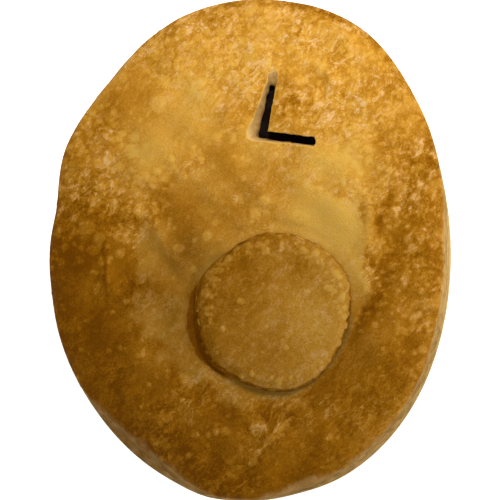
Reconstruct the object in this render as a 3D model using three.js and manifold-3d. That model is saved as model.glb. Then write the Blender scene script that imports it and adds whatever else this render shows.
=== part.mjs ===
// An oval steak and onion pie: a pastry case, its dark filling, a puffed lid with an angled steam vent,
// and a pastry round baked onto the lid. Millimetres, +Z up, +Y along the pie's length.
// The origin is on the table, under the middle of the pie.
import * as THREE from "three";
import { mergeVertices } from "three/addons/utils/BufferGeometryUtils.js";
import Module from "manifold-3d";

// Whole pie: its rim is an ellipse before the swells below
const LENGTH = 125.6;
const WIDTH = 100.5;
const RIM_HEIGHT = 23;
const GAP = 0.3;

// Pastry case, with its shares taken of the rim's radius
const BASE_SHARE = 0.8;
const RIM_SHARE = 0.985;
const INNER_RIM_SHARE = 0.9;
const INNER_FLOOR_SHARE = 0.72;
const RIM_REST_SHARE = 0.12;
const GAP_SHARE = (2 * GAP) / WIDTH;
const FILLING_SHARE = INNER_RIM_SHARE - GAP_SHARE;
const FLOOR_THICKNESS = 4;
const BASE_ROUND = 4.5;
const WALL_WAVE = 0.35;
const WALL_WAVES = { around: 17, sway: 2, sways: 3 };

// Lid
const LID_THICKNESS = 4;
const EDGE_HEIGHT = 4.4;
const CROWN_RISE = 6.2;
const CROWN_POWER = 2.5;
const SHOULDER_DROP = 1.7;
const SHOULDER_WIDTH = 2.2;
const FLAKE_DEPTH = 0.3;
const FLAKE_LAYERS = 2.5;
const FLAKE_WAVES = [{ around: 4, phase: 0, by: 0.4 }, { around: 11, phase: 0, by: 0.3 }];
const FOLD_END_FADE = 0.12;
const RIPPLE_HEIGHT = 0.15;

// Sunken middle of the lid
const SINK = { x: 5, y: -9.5, across: 27.5, along: 30.5, depth: 2.6, from: 0.45, to: 1.2 };

// Pastry round on the lid
const ROUND = { x: 6.4, y: -16.5, radius: 19.6, edge: 2.4, crown: 0.8, seat: 6.9, skirt: 3.4 };
const ROUND_CROWN_POWER = 4;
const ROUND_LEAN = 0.5;
const ROUND_LEANS = [{ at: 125, spread: 28, by: 0.5 }, { at: 200, spread: 45, by: 1.3 }];
const ROUND_LAYER = { around: 7, by: 0.25 };
const ROUND_TILT = { around: 3, by: 0.12 };
const ROUND_SWELLS = [
  { at: 28, spread: 20, by: 0.7 },
  { at: 125, spread: 18, by: -0.8 },
  { at: 160, spread: 12, by: 0.4 },
  { at: 215, spread: 20, by: 0.85 },
  { at: 240, spread: 18, by: -0.4 },
  { at: 288, spread: 18, by: 0.5 },
  { at: 342, spread: 30, by: -1.15 },
];
const VALLEY_DEPTH = 0.4;
const VALLEY_WIDTH = 1.8;

// Steam vent: two slits that meet in a corner, with the pastry outside the corner sloping into them
// and the flap between them leaning over the short one
const VENT = {
  corner: { x: 2.4, y: 27.1 },
  long: { heading: 77, length: 13.6, width: 2.5, end_width: 1.7, slope: 2.8, end_slope: 1.1, run_out: 5.6 },
  short: { heading: -8.3, length: 14.5, width: 1.6, slope: 1.75, end_slope: 0.7, run_out: 0.2 },
};
const VENT_DEPTH = 4.2;
const VENT_UNDERCUT = 0.6;
const VENT_ROUND = { foot: 0.45, surface: 1.8, inset: 0.25 };
const VENT_END = { foot: 0.4, surface: 1.1 };
const FLAP = { x: 11.5, y: 33.5, radius: 8.5, rise: 1.2 };

// Mesh steps
const AROUND = 88;
const CASE_CORNER_STEPS = 3;
const CASE_WALL_STEPS = 5;
const INNER_WALL_STEPS = 2;
const LID_RINGS = 26;
const EDGE_RINGS = 5;
const UNDER_RINGS = 8;
const ROUND_AROUND = 56;
const ROUND_RINGS = 8;
const ROUND_EDGE_RINGS = 4;

// Points nearer to each other than this are one point
const SAME_POINT = 1e-3;

// Departures of the hand-trimmed rim from an ellipse, as shares of its radius, by angle in degrees
const RIM_SWELLS = [
  { at: 34, spread: 10, by: 0.011 },
  { at: 60, spread: 19, by: 0.044 },
  { at: 108, spread: 32, by: -0.011 },
  { at: 129, spread: 15, by: -0.025 },
  { at: 150, spread: 9, by: 0.006 },
  { at: 168, spread: 9, by: -0.022 },
  { at: 209, spread: 14, by: 0.01 },
  { at: 260, spread: 6, by: 0.009 },
  { at: 281, spread: 8, by: -0.008 },
  { at: 309, spread: 34, by: 0.03 },
];

// How far the lid's cut edge leans out under its shoulder, in millimetres
const EDGE_LEAN = 0.2;
const EDGE_LEANS = [
  { at: 2, spread: 9, by: 0.9 },
  { at: 243, spread: 14, by: 3.3 },
  { at: 300, spread: 17, by: 1.9 },
  { at: 340, spread: 28, by: 1.9 },
];

// Broad unevenness of the baked lid: waves by length, heading and phase
const RIPPLES = [
  { length: 19, heading: 20, phase: 0.4 },
  { length: 15, heading: 78, phase: 2.1 },
  { length: 12.5, heading: 131, phase: 4.0 },
  { length: 10, heading: 165, phase: 1.2 },
  { length: 8.5, heading: 47, phase: 5.3 },
];

// Folds of the lid: ridges that run through a few points
const FOLDS = [
  { height: 0.8, width: 2.0, points: [[-25, 10.5], [-22.8, 3.7], [-18.3, -3], [-13.8, -8.6]] },
  { height: 0.7, width: 1.5, points: [[0.7, 37.4], [-4.3, 33.4], [-8.5, 25.9]] },
  { height: 0.9, width: 1.6, points: [[12.3, 46.8], [19.3, 43.7], [21.5, 40.4], [21, 35]] },
  { height: 0.5, width: 1.4, points: [[6.3, 21.9], [2.7, 15.2], [-0.3, 12.4]] },
  { height: 0.6, width: 1.6, points: [[28.3, 13.6], [30.3, 4.7], [28.8, -2.8]] },
  { height: 0.5, width: 1.6, points: [[-35.6, 3.1], [-35.3, -4.5], [-34.3, -13.3]] },
  { height: 0.5, width: 1.5, points: [[16.3, -43.5], [9.5, -48.5], [2.2, -55]] },
];

const { cos, sin, hypot, exp, max, PI } = Math;
const { degToRad, lerp, smoothstep } = THREE.MathUtils;

const wasm = await Module();
wasm.setup();

// Sum of soft swells round the pie, each centred on its own angle.
function swellSum(swells, angle) {
  return swells.reduce((sum, swell) => {
    const away = degToRad(swell.at) - angle;
    const turn = Math.atan2(sin(away), cos(away)) / degToRad(swell.spread);
    return sum + swell.by * exp(-turn * turn);
  }, 0);
}

// Sum of waves that run a whole number of times round.
function waveSum(waves, angle) {
  return waves.reduce((sum, wave) => sum + wave.by * sin(wave.around * angle + wave.phase), 0);
}

// Radius of the pie's widest line, at the lid's lower edge.
function rimRadius(angle) {
  const ellipse = (LENGTH * WIDTH) / 2 / hypot(LENGTH * cos(angle), WIDTH * sin(angle));
  return ellipse * (1 + swellSum(RIM_SWELLS, angle));
}

function edgeLean(angle) {
  return EDGE_LEAN + swellSum(EDGE_LEANS, angle);
}

// Distance from a point to a line of straight stretches, and how far along the line it falls, from 0 to 1.
function nearLine(points, x, y) {
  let best = { distance: Infinity, share: 0 };
  for (let i = 0; i + 1 < points.length; i++) {
    const [ax, ay] = points[i];
    const [bx, by] = points[i + 1];
    const along = ((x - ax) * (bx - ax) + (y - ay) * (by - ay)) / ((bx - ax) ** 2 + (by - ay) ** 2);
    const held = Math.min(max(along, 0), 1);
    const distance = hypot(x - lerp(ax, bx, held), y - lerp(ay, by, held));
    if (distance < best.distance) best = { distance, share: (i + held) / (points.length - 1) };
  }
  return best;
}

function foldHeight(x, y) {
  return FOLDS.reduce((sum, fold) => {
    const { distance, share } = nearLine(fold.points, x, y);
    const fade = sin(PI * lerp(FOLD_END_FADE, 1 - FOLD_END_FADE, share));
    return sum + fold.height * fade * exp(-((distance / fold.width) ** 2));
  }, 0);
}

function rippleHeight(x, y) {
  return RIPPLES.reduce((sum, wave) => {
    const heading = degToRad(wave.heading);
    return sum + sin(((x * cos(heading) + y * sin(heading)) * 2 * PI) / wave.length + wave.phase);
  }, 0) * RIPPLE_HEIGHT;
}

// Height of the smooth lid above the case's rim: a crown that sinks in the middle.
function smoothLid(x, y) {
  const angle = Math.atan2(y, x);
  const share = hypot(x, y) / (rimRadius(angle) - edgeLean(angle));
  const crown = EDGE_HEIGHT + CROWN_RISE * (1 - share ** CROWN_POWER);
  const out = hypot((x - SINK.x) / SINK.across, (y - SINK.y) / SINK.along);
  return crown - SINK.depth * (1 - smoothstep(out, SINK.from, SINK.to));
}

// Height of the lid's top above the rim, with its shoulder, folds, flap and the pastry round's flat seat.
function lidTop(x, y) {
  const angle = Math.atan2(y, x);
  const inset = max(rimRadius(angle) - edgeLean(angle) - hypot(x, y), 0);
  const shoulder = SHOULDER_DROP * exp(-inset / SHOULDER_WIDTH);
  const flap = FLAP.rise * exp(-(((x - FLAP.x) ** 2 + (y - FLAP.y) ** 2) / FLAP.radius ** 2));
  const free = smoothLid(x, y) - shoulder + flap + foldHeight(x, y) + rippleHeight(x, y);
  const past = hypot(x - ROUND.x, y - ROUND.y) - ROUND.radius;
  const valley = VALLEY_DEPTH * exp(-(((past - VALLEY_WIDTH) / VALLEY_WIDTH) ** 2));
  return lerp(ROUND.seat, free - valley, smoothstep(past, GAP, ROUND.skirt));
}

// Height of the lid's underside above the rim: flat where it lies on the rim, raised inside it.
function lidUnder(x, y) {
  const share = hypot(x, y) / rimRadius(Math.atan2(y, x));
  const raised = max(smoothLid(x, y) - LID_THICKNESS, 0);
  return raised * (1 - smoothstep(share, INNER_RIM_SHARE - RIM_REST_SHARE, INNER_RIM_SHARE));
}

// A lathe of [share, level] pairs whose points are then moved to where place(share, level, angle) says.
function shapedLathe(profile, around, place) {
  const points = profile.map(([share, level]) => new THREE.Vector2(share, level));
  const lathe = new THREE.LatheGeometry(points, around);
  const position = lathe.getAttribute("position");
  for (let i = 0; i < position.count; i++) {
    const share = hypot(position.getX(i), position.getZ(i));
    const angle = Math.atan2(position.getX(i), position.getZ(i));
    position.setXYZ(i, ...place(share, position.getY(i), angle));
  }
  return solidFrom(lathe);
}

// A closed geometry as a solid for cutting.
function solidFrom(geometry) {
  const bare = new THREE.BufferGeometry();
  bare.setAttribute("position", geometry.getAttribute("position"));
  bare.setIndex(geometry.getIndex());
  const { index, attributes } = mergeVertices(bare, SAME_POINT);
  const corners = [];
  for (let i = 0; i < index.count; i += 3) {
    const [a, b, c] = [index.getX(i), index.getX(i + 1), index.getX(i + 2)];
    if (a !== b && b !== c && c !== a) corners.push(a, b, c);
  }
  const vertProperties = attributes.position.array;
  return new wasm.Manifold(new wasm.Mesh({ numProp: 3, vertProperties, triVerts: new Uint32Array(corners) }));
}

// A solid as a named mesh.
function piece(name, solid, colour, roughness) {
  const { vertProperties, triVerts } = solid.getMesh();
  const geometry = new THREE.BufferGeometry();
  geometry.setAttribute("position", new THREE.BufferAttribute(vertProperties, 3));
  geometry.setIndex(new THREE.BufferAttribute(triVerts, 1));
  geometry.computeVertexNormals();
  const material = new THREE.MeshStandardMaterial({ color: colour, roughness, metalness: 0 });
  const mesh = new THREE.Mesh(geometry, material);
  mesh.name = name;
  return mesh;
}

// Values evenly spread from one end to the other, both included.
function steps(from, to, count) {
  return Array.from({ length: count + 1 }, (_, i) => lerp(from, to, i / count));
}

// The case's wall leans out from a rounded base to the rim, waved a little by the tin.
function makeCase() {
  const roundShare = (2 * BASE_ROUND) / WIDTH;
  const outerCorner = steps(-PI / 2, 0, CASE_CORNER_STEPS).map((turn) => [
    BASE_SHARE - roundShare + roundShare * cos(turn),
    BASE_ROUND * (1 + sin(turn)),
  ]);
  const outerWall = steps(0, 1, CASE_WALL_STEPS).slice(1).map((up) => [
    lerp(BASE_SHARE, RIM_SHARE, up),
    lerp(BASE_ROUND, RIM_HEIGHT, up),
  ]);
  const innerWall = steps(0, 1, INNER_WALL_STEPS).map((down) => [
    lerp(INNER_RIM_SHARE, INNER_FLOOR_SHARE, down),
    lerp(RIM_HEIGHT, FLOOR_THICKNESS, down),
  ]);
  const outside = [[0, 0], [BASE_SHARE / 2, 0], ...outerCorner, ...outerWall];
  return shapedLathe([...outside, ...innerWall, [0, FLOOR_THICKNESS]], AROUND, (share, level, angle) => {
    const wallInside = lerp(INNER_FLOOR_SHARE, INNER_RIM_SHARE, level / RIM_HEIGHT);
    const swell = share > wallInside ? WALL_WAVE * sin((PI * level) / RIM_HEIGHT) : 0;
    const turn = WALL_WAVES.around * angle + WALL_WAVES.sway * sin(WALL_WAVES.sways * angle);
    const radius = share * rimRadius(angle) + swell * sin(turn);
    return [radius * cos(angle), radius * sin(angle), level];
  });
}

// The filling fills the case up to the lid's underside.
function makeFilling() {
  const sides = steps(0, 1, INNER_WALL_STEPS).map((up) => [
    lerp(INNER_FLOOR_SHARE - GAP_SHARE, FILLING_SHARE, up),
    up,
  ]);
  const top = steps(FILLING_SHARE, 0, UNDER_RINGS).slice(1).map((share) => [share, 1]);
  return shapedLathe([[0, 0], ...sides, ...top], AROUND, (share, level, angle) => {
    const radius = share * rimRadius(angle);
    const [x, y] = [radius * cos(angle), radius * sin(angle)];
    return [x, y, lerp(FLOOR_THICKNESS + GAP, RIM_HEIGHT + lidUnder(x, y), level)];
  });
}

// The lid before its vent is cut: level 1 is its top and level 0 its underside.
// Its flaky cut edge lies between them.
function makeWholeLid() {
  const under = [...steps(0, FILLING_SHARE, UNDER_RINGS), 1].map((share) => [share, 0]);
  const edge = steps(0, 1, EDGE_RINGS).slice(1).map((level) => [1, level]);
  const top = steps(1, 0, LID_RINGS).slice(1).map((share) => [share, 1]);
  return shapedLathe([...under, ...edge, ...top], AROUND, (share, level, angle) => {
    const layers = sin(2 * PI * (FLAKE_LAYERS * level + waveSum(FLAKE_WAVES, angle)));
    const flakes = FLAKE_DEPTH * (1 + layers) * sin(PI * level);
    const radius = share * (rimRadius(angle) - edgeLean(angle) * level) - flakes;
    const [x, y] = [radius * cos(angle), radius * sin(angle)];
    return [x, y, RIM_HEIGHT + GAP + lerp(lidUnder(x, y), lidTop(x, y), level)];
  });
}

// Corners of the vent at one height: slope is 0 at its foot and 1 at the lid's surface.
// The outer corner and the long slit's end are rounded off, more at the surface than at the foot.
function ventCorners(slope) {
  const { corner, long, short } = VENT;
  const unit = (heading) => new THREE.Vector2(cos(degToRad(heading)), sin(degToRad(heading)));
  const [up, across] = [unit(long.heading), unit(short.heading)];
  const [towardsShort, towardsLong] = [unit(long.heading - 90), unit(short.heading + 90)];
  const from = (start, ...moves) =>
    moves.reduce((point, [direction, by]) => point.addScaledVector(direction, by), start.clone());
  const foot = new THREE.Vector2(corner.x, corner.y);
  const outer = from(foot, [towardsShort, -long.slope * slope], [towardsLong, -short.slope * slope]);
  const cut = lerp(VENT_ROUND.foot, VENT_ROUND.surface, slope);
  const flapSide = short.width + VENT_UNDERCUT * (1 - slope);
  const shortEnd = short.length + short.run_out * slope;
  const longEnd = long.length + long.run_out * slope;
  const endSlope = long.end_slope * slope;
  const endCut = lerp(VENT_END.foot, VENT_END.surface, slope);
  return [
    from(outer, [up, cut]),
    from(outer, [up, cut * VENT_ROUND.inset], [across, cut * VENT_ROUND.inset]),
    from(outer, [across, cut]),
    from(foot, [across, shortEnd], [towardsLong, -short.end_slope * slope]),
    from(foot, [across, shortEnd], [towardsLong, flapSide]),
    from(foot, [towardsShort, long.width], [towardsLong, flapSide]),
    from(foot, [up, longEnd - endCut], [towardsShort, long.end_width]),
    from(foot, [up, longEnd], [towardsShort, long.end_width - endCut]),
    from(foot, [up, longEnd], [towardsShort, endCut - endSlope]),
    from(foot, [up, longEnd - endCut], [towardsShort, -endSlope]),
  ];
}

// The vent's cutter: an extrusion of its foot whose upper corners are spread to the sloping sides.
function makeVent() {
  const surface = RIM_HEIGHT + GAP + lidTop(VENT.corner.x, VENT.corner.y);
  const levels = [RIM_HEIGHT, surface - VENT_DEPTH, surface + VENT_DEPTH];
  const foot = ventCorners(0);
  const options = { depth: 2, steps: 2, bevelEnabled: false };
  const cutter = new THREE.ExtrudeGeometry(new THREE.Shape(foot), options);
  const position = cutter.getAttribute("position");
  for (let i = 0; i < position.count; i++) {
    const step = Math.round(position.getZ(i));
    const slope = max((levels[step] - levels[1]) / VENT_DEPTH, 0);
    const here = new THREE.Vector2(position.getX(i), position.getY(i));
    const corner = foot.findIndex((point) => point.distanceTo(here) < SAME_POINT);
    const moved = ventCorners(slope)[corner];
    position.setXYZ(i, moved.x, moved.y, levels[step]);
  }
  return solidFrom(cutter);
}

// The pastry round: a thin disc, not quite round, with a flaky edge and a slightly raised middle.
function makeRound() {
  const foot = RIM_HEIGHT + 2 * GAP + ROUND.seat;
  const edge = steps(0, 1, ROUND_EDGE_RINGS).map((level) => [1, level]);
  const top = steps(1, 0, ROUND_RINGS).slice(1).map((share) => [share, 1]);
  return shapedLathe([[0, 0], ...edge, ...top], ROUND_AROUND, (share, level, angle) => {
    const layers = ROUND_LAYER.by * sin(2 * PI * level) * sin(ROUND_LAYER.around * angle);
    const lean = level * (ROUND_LEAN + swellSum(ROUND_LEANS, angle));
    const radius = share * (ROUND.radius + swellSum(ROUND_SWELLS, angle) + layers - lean);
    const tilt = ROUND_TILT.by * sin(ROUND_TILT.around * angle) * share;
    const bulge = ROUND.crown * (1 - share ** ROUND_CROWN_POWER) + tilt;
    return [
      ROUND.x + radius * cos(angle),
      ROUND.y + radius * sin(angle),
      foot + level * (ROUND.edge + bulge),
    ];
  });
}

const pie = new THREE.Group();
pie.add(
  piece("case", makeCase(), 0xb9782e, 0.75),
  piece("filling", makeFilling(), 0x1e0e06, 0.3),
  piece("lid", makeWholeLid().subtract(makeVent()), 0xc5852f, 0.6),
  piece("pastry_round", makeRound(), 0xb57a2b, 0.6),
);

export default pie;
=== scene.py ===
import bpy
import numpy as np
from mathutils import Matrix, Vector


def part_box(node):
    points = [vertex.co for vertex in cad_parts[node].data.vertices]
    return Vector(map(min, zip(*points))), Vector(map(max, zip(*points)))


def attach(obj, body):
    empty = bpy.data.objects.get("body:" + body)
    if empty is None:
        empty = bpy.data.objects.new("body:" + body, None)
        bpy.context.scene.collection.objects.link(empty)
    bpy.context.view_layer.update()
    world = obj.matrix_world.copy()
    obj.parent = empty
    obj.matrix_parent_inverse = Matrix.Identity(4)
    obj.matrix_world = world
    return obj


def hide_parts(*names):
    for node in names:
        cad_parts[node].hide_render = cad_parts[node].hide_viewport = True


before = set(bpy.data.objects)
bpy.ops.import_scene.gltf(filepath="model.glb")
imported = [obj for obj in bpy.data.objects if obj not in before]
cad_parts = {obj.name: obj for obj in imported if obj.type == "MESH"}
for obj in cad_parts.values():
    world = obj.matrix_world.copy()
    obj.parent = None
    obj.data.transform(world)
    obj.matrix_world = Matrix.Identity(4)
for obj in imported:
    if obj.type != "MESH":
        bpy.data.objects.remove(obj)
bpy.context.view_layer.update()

MM = 0.001
PI = np.pi

# Sizes that the solids give
RIM_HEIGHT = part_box("case")[1].z / MM
ROUND_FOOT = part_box("pastry_round")[0].z / MM

# Whole pie: its rim is an ellipse before the swells below
LENGTH = 125.6
WIDTH = 100.5
GAP = 0.3

# Pastry case, with its shares taken of the rim's radius
BASE_SHARE = 0.8
RIM_SHARE = 0.985
INNER_RIM_SHARE = 0.9
INNER_FLOOR_SHARE = 0.72
RIM_REST_SHARE = 0.12
GAP_SHARE = 2 * GAP / WIDTH
FILLING_SHARE = INNER_RIM_SHARE - GAP_SHARE
FLOOR_THICKNESS = 4
BASE_ROUND = 4.5
WALL_WAVE = 0.35
WALL_WAVES_AROUND, WALL_SWAY, WALL_SWAYS = 17, 2, 3

# Lid
LID_THICKNESS = 4
EDGE_HEIGHT = 4.4
CROWN_RISE = 6.2
CROWN_POWER = 2.5
SHOULDER_DROP = 1.7
SHOULDER_WIDTH = 2.2
RIPPLE_HEIGHT = 0.15
FOLD_END_FADE = 0.12
STREAK_END_FADE = 0.1
EDGE_LEAN = 0.2

# Sunken middle of the lid
SINK_AT = (5, -9.5)
SINK_ACROSS, SINK_ALONG = 27.5, 30.5
SINK_DEPTH = 2.6
SINK_FROM, SINK_TO = 0.45, 1.2

# Pastry round on the lid
ROUND_AT = (6.4, -16.5)
ROUND_RADIUS = 19.6
ROUND_EDGE = 2.4
ROUND_CROWN = 0.8
ROUND_CROWN_POWER = 4
ROUND_SEAT = 6.9
ROUND_SKIRT = 3.4
ROUND_LEAN = 0.5
VALLEY_DEPTH = 0.4
VALLEY_WIDTH = 1.8

# Steam vent: two slits that meet in a corner
VENT_CORNER = np.array([2.4, 27.1])
VENT_LONG = {
    "heading": 77, "length": 13.6, "width": 2.5, "end_width": 1.7,
    "slope": 2.8, "end_slope": 1.1, "run_out": 5.6,
}
VENT_SHORT = {
    "heading": -8.3, "length": 14.5, "width": 1.6,
    "slope": 1.75, "end_slope": 0.7, "run_out": 0.2,
}
VENT_DEPTH = 4.2
VENT_UNDERCUT = 0.6
VENT_ROUND_FOOT, VENT_ROUND_SURFACE, VENT_ROUND_INSET = 0.45, 1.8, 0.25
VENT_END_FOOT, VENT_END_SURFACE = 0.4, 1.1
VENT_SHORT_CUT = 0.5
VENT_LIT_DEPTH = 1.2

# The flap between the slits leans over the short one: x, y, radius and rise
FLAP = (11.5, 33.5, 8.5, 1.2)

# Swells by angle and spread in degrees, and size
RIM_SWELLS = [
    (34, 10, 0.011), (60, 19, 0.044), (108, 32, -0.011), (129, 15, -0.025), (150, 9, 0.006),
    (168, 9, -0.022), (209, 14, 0.01), (260, 6, 0.009), (281, 8, -0.008), (309, 34, 0.03),
]
EDGE_LEANS = [(2, 9, 0.9), (243, 14, 3.3), (300, 17, 1.9), (340, 28, 1.9)]
ROUND_LEANS = [(125, 28, 0.5), (200, 45, 1.3)]
ROUND_SWELLS = [
    (28, 20, 0.7), (125, 18, -0.8), (160, 12, 0.4), (215, 20, 0.85),
    (240, 18, -0.4), (288, 18, 0.5), (342, 30, -1.15),
]

# Broad unevenness of the lid: waves by length, heading in degrees and phase
RIPPLES = [(19, 20, 0.4), (15, 78, 2.1), (12.5, 131, 4.0), (10, 165, 1.2), (8.5, 47, 5.3)]

# Folds of the lid: height, width and the points that the ridge runs through
FOLDS = [
    (0.8, 2.0, [(-25, 10.5), (-22.8, 3.7), (-18.3, -3), (-13.8, -8.6)]),
    (0.7, 1.5, [(0.7, 37.4), (-4.3, 33.4), (-8.5, 25.9)]),
    (0.9, 1.6, [(12.3, 46.8), (19.3, 43.7), (21.5, 40.4), (21, 35)]),
    (0.5, 1.4, [(6.3, 21.9), (2.7, 15.2), (-0.3, 12.4)]),
    (0.6, 1.6, [(28.3, 13.6), (30.3, 4.7), (28.8, -2.8)]),
    (0.5, 1.6, [(-35.6, 3.1), (-35.3, -4.5), (-34.3, -13.3)]),
    (0.5, 1.5, [(16.3, -43.5), (9.5, -48.5), (2.2, -55)]),
]

# Smooth dough: an oval over the sunken middle, and spots by x, y and radius
CALM_AT = (1.5, -8)
CALM_ACROSS, CALM_ALONG = 29, 31
CALM_EDGE = (0.9, 1.04)
CALM_ROUGHNESS = 0.3
CALM_SPOTS = [(-13, 33, 12), (2, 21, 12), (25, -27, 9), (18, 21, 9), (-24, 24, 9)]

# Where the lid is browner (above 0) or paler (below 0): x, y, radius and amount
BAKED_PATCHES = [
    (-17, 8.5, 6.5, 0.42), (-22.5, -9, 6, 0.15), (-25, -13, 6, 0.12), (-16, -26, 7, 0.2),
    (-4.8, 19.5, 5, 0.34), (-6, 14, 10, 0.03), (13.3, 34.5, 8, 0.04), (40, 6, 9, 0.1), (25, -26, 8, 0.5),
    (20, -35, 7, 0.2), (36, -30, 9, 0.18), (18, -48, 9, 0.05), (27.5, -16, 5, 0.28), (-42.5, -3, 5, 0.3),
    (42, -3, 5, 0.15), (-5, -39, 6, 0.1), (-37, 14, 8, -0.2), (-25, 2, 4, -0.08), (24, 8, 8, -0.12),
    (41, -21, 5, 0.1), (34, 37, 12, 0.14), (42, 22, 10, 0.05), (-2, 33, 8, 0.12),
    (30, 17.5, 9, -0.2), (28, 27, 8, -0.18), (5.2, 17.4, 6, 0.16), (-3.6, 8, 7, 0.17), (-25, 22, 8, -0.14),
    (-36.5, 8, 5, 0.2), (-36.5, -20.5, 6, 0.12), (-22, -29, 6, -0.18), (10, -49, 6, -0.12),
    (-10, 56, 12, 0.1), (18, 56, 8, 0.12), (-15, 46, 8, 0.06), (7, 17.5, 6, 0.22), (-3, 8.5, 6, 0.12),
    (-15, -1.5, 4, 0.3), (-25.3, 8, 3, -0.28), (-14.5, -39.5, 5, -0.26),
    (18.7, -39.5, 4, -0.23), (-36.5, -31, 6, 0.06), (-36, -40, 5, 0.04), (-2.5, -58.5, 5, 0.03),
    (28, 36.5, 5, -0.1), (-33, 42, 5, -0.12), (-41, 33, 4, -0.15), (-47.5, -12, 5, 0.12),
    (-15, -11, 5, 0.14), (-37, -11, 6, -0.09), (19, 27, 6, 0.18), (8, 8, 5, 0.12), (12, 46, 7, -0.07),
    (28.5, -9, 4, -0.12), (-25.3, -20.6, 5, -0.15), (-23, -45, 6, 0.06), (30, -21, 4, -0.08),
    (-45, -21, 4, 0.12), (8, 36, 4, 0.1), (25, -38, 3.5, 0.1), (-2, -49, 5, -0.09),
    (12, 41, 4, 0.14), (-31, 37, 6, 0.12), (-37, 36, 3, -0.06), (-25, 47, 4, -0.05), (-3, 27, 4, 0.05),
    (-14.5, -49, 5, 0.06), (8, -58.5, 4, 0.05), (-17, 3, 4, 0.08), (-8, 3, 4, 0.06),
]

# Creases (above 0) and raised flakes (below 0) of the lid: amount, width and points
STREAKS = [
    (0.26, 0.4, [(-35.2, 2.2), (-36.1, -1.2), (-35.2, -4.6), (-35.7, -8), (-34.6, -13)]),
    (0.22, 1.2, [(-7.9, 31.4), (-5.2, 34.4), (-1, 38)]),
    (0.25, 2.2, [(8.4, 42), (11, 35.5), (7.2, 31)]),
    (-0.2, 0.8, [(11.5, 47.5), (18.8, 45), (20.6, 42)]),
    (0.35, 1.0, [(36.5, 14.5), (34, 8.2), (32, 3.2)]),
    (-0.2, 0.7, [(0.5, -55), (3.2, -50.5), (8.5, -45.5), (10.2, -43)]),
    (0.2, 0.6, [(1.4, -55.5), (4.1, -51)]),
    (0.22, 2.6, [(36, 0), (34, -7), (31, -14), (27, -22)]),
]

# Single blisters of the lid: x, y, radius and height share; and the line of a row of beads
PLACED_BLISTERS = [
    (-39.9, 4.7, 2.0, 0.08), (-37, 1.8, 1.6, 0.1), (-31.9, 2.5, 1.8, 0.08), (-22.4, 18.2, 1.1, 0.35),
    (-32.2, 19.6, 1.4, 0.15), (-25.3, 16.7, 1.1, 0.2), (-22.4, 5.8, 0.8, 0.4), (-37, 15.2, 0.9, 0.3),
    (-11.6, 21.1, 1.1, 0.35), (-39.1, -0.8, 1.1, 0.15), (-9.8, -46.9, 0.9, 0.25), (-7.9, -46.3, 1.0, 0.25),
    (22.6, 36.7, 0.8, 0.3), (28.9, 33.4, 0.7, 0.3), (-16, 17.2, 1.2, 0.25), (-13.6, 24.3, 0.9, 0.35),
    (-23.7, 14.5, 0.8, 0.4), (-19, 21.3, 1.0, 0.25), (1.8, 8, 1.5, 0.12), (4.2, 10.9, 1.6, 0.12),
    (-13.3, -6, 1.0, 0.2), (-31.7, -2.1, 1.3, 0.15), (-30.2, -14, 0.9, 0.2),
]
BEADS = [(1, -54.5), (8, -45.5), (10.2, -43)]
BEAD_WIDTH, BEAD_SHARE = 0.9, 0.9

# By angle and spread in degrees, and amount: where the lid's rim is browner or paler,
# and the widths of painted shadow beside the round: dark crust at its left, and shade
RIM_BAKE = [
    (62, 16, 0.29), (84, 12, 0.22), (132, 12, -0.18), (160, 8, -0.12), (312, 24, -0.14),
    (352, 9, 0.1), (10, 8, -0.1), (22, 7, 0.1),
]
ROUND_SHADOW_CRUST = [(188, 24, 2.2), (225, 16, 0.8)]
ROUND_SHADE = [(148, 22, 1.5), (268, 30, 1.9), (340, 26, 1.3)]

# By x, y, radius and amount: where the round is browner or paler, the crust smooth, and the dough darkened
# by painted shade
ROUND_PATCHES = [
    (8.4, -29.5, 6, 0.14), (6.5, -8, 4, -0.08), (11, -13, 4, -0.1), (15.5, -18.5, 6, -0.11),
    (13, -5.5, 4, 0.1), (18.5, -11, 4, 0.08), (-3.5, -20.5, 4, -0.03), (8, -1.5, 4, -0.08),
    (18.7, -30, 4, -0.05),
]
SMOOTH_PATCHES = [(-31, 37, 9, 0.8), (-20, 30, 8, 0.5), (-6, 20, 7, 0.5), (-10, 6, 7, 0.5)]
SHADE_PATCHES = [(-18, -18, 9, 0.16), (-14, -3, 6, 0.2)]


def lerp(start, end, share):
    return start + (end - start) * share


def smoothstep(value, low, high):
    share = np.clip((value - low) / (high - low), 0, 1)
    return share * share * (3 - 2 * share)


def noise(x, y, wavelength, seed):
    """Smooth repeatable noise, about -1 to 1, from turned slopes on a square lattice."""
    size = 64
    turns = np.random.default_rng(seed).uniform(0, 2 * PI, (size, size))
    u, v = x / wavelength + size, y / wavelength + size
    i, j = np.floor(u).astype(int), np.floor(v).astype(int)
    fu, fv = u - i, v - j

    def corner(across, along):
        turn = turns[(i + across) % size, (j + along) % size]
        return np.cos(turn) * (fu - across) + np.sin(turn) * (fv - along)

    su, sv = (f * f * f * (f * (6 * f - 15) + 10) for f in (fu, fv))
    near, far = lerp(corner(0, 0), corner(1, 0), su), lerp(corner(0, 1), corner(1, 1), su)
    return 1.5 * lerp(near, far, sv)


def noise_sum(x, y, *waves):
    """Sum of noises, each with its amount, wavelength and seed."""
    return sum(amount * noise(x, y, wavelength, seed) for amount, wavelength, seed in waves)


def patchy(x, y, wavelength, seed, spread, edge):
    """Broad soft-edged patches that lie a spread above and below 1."""
    return lerp(1 - spread, 1 + spread, smoothstep(noise(x, y, wavelength, seed), -edge, edge))


def patch_sum(patches, x, y):
    """Sum of soft round patches, each with its x, y, radius and amount."""
    return sum(amount * np.exp(-((x - px) ** 2 + (y - py) ** 2) / r ** 2) for px, py, r, amount in patches)


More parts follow.
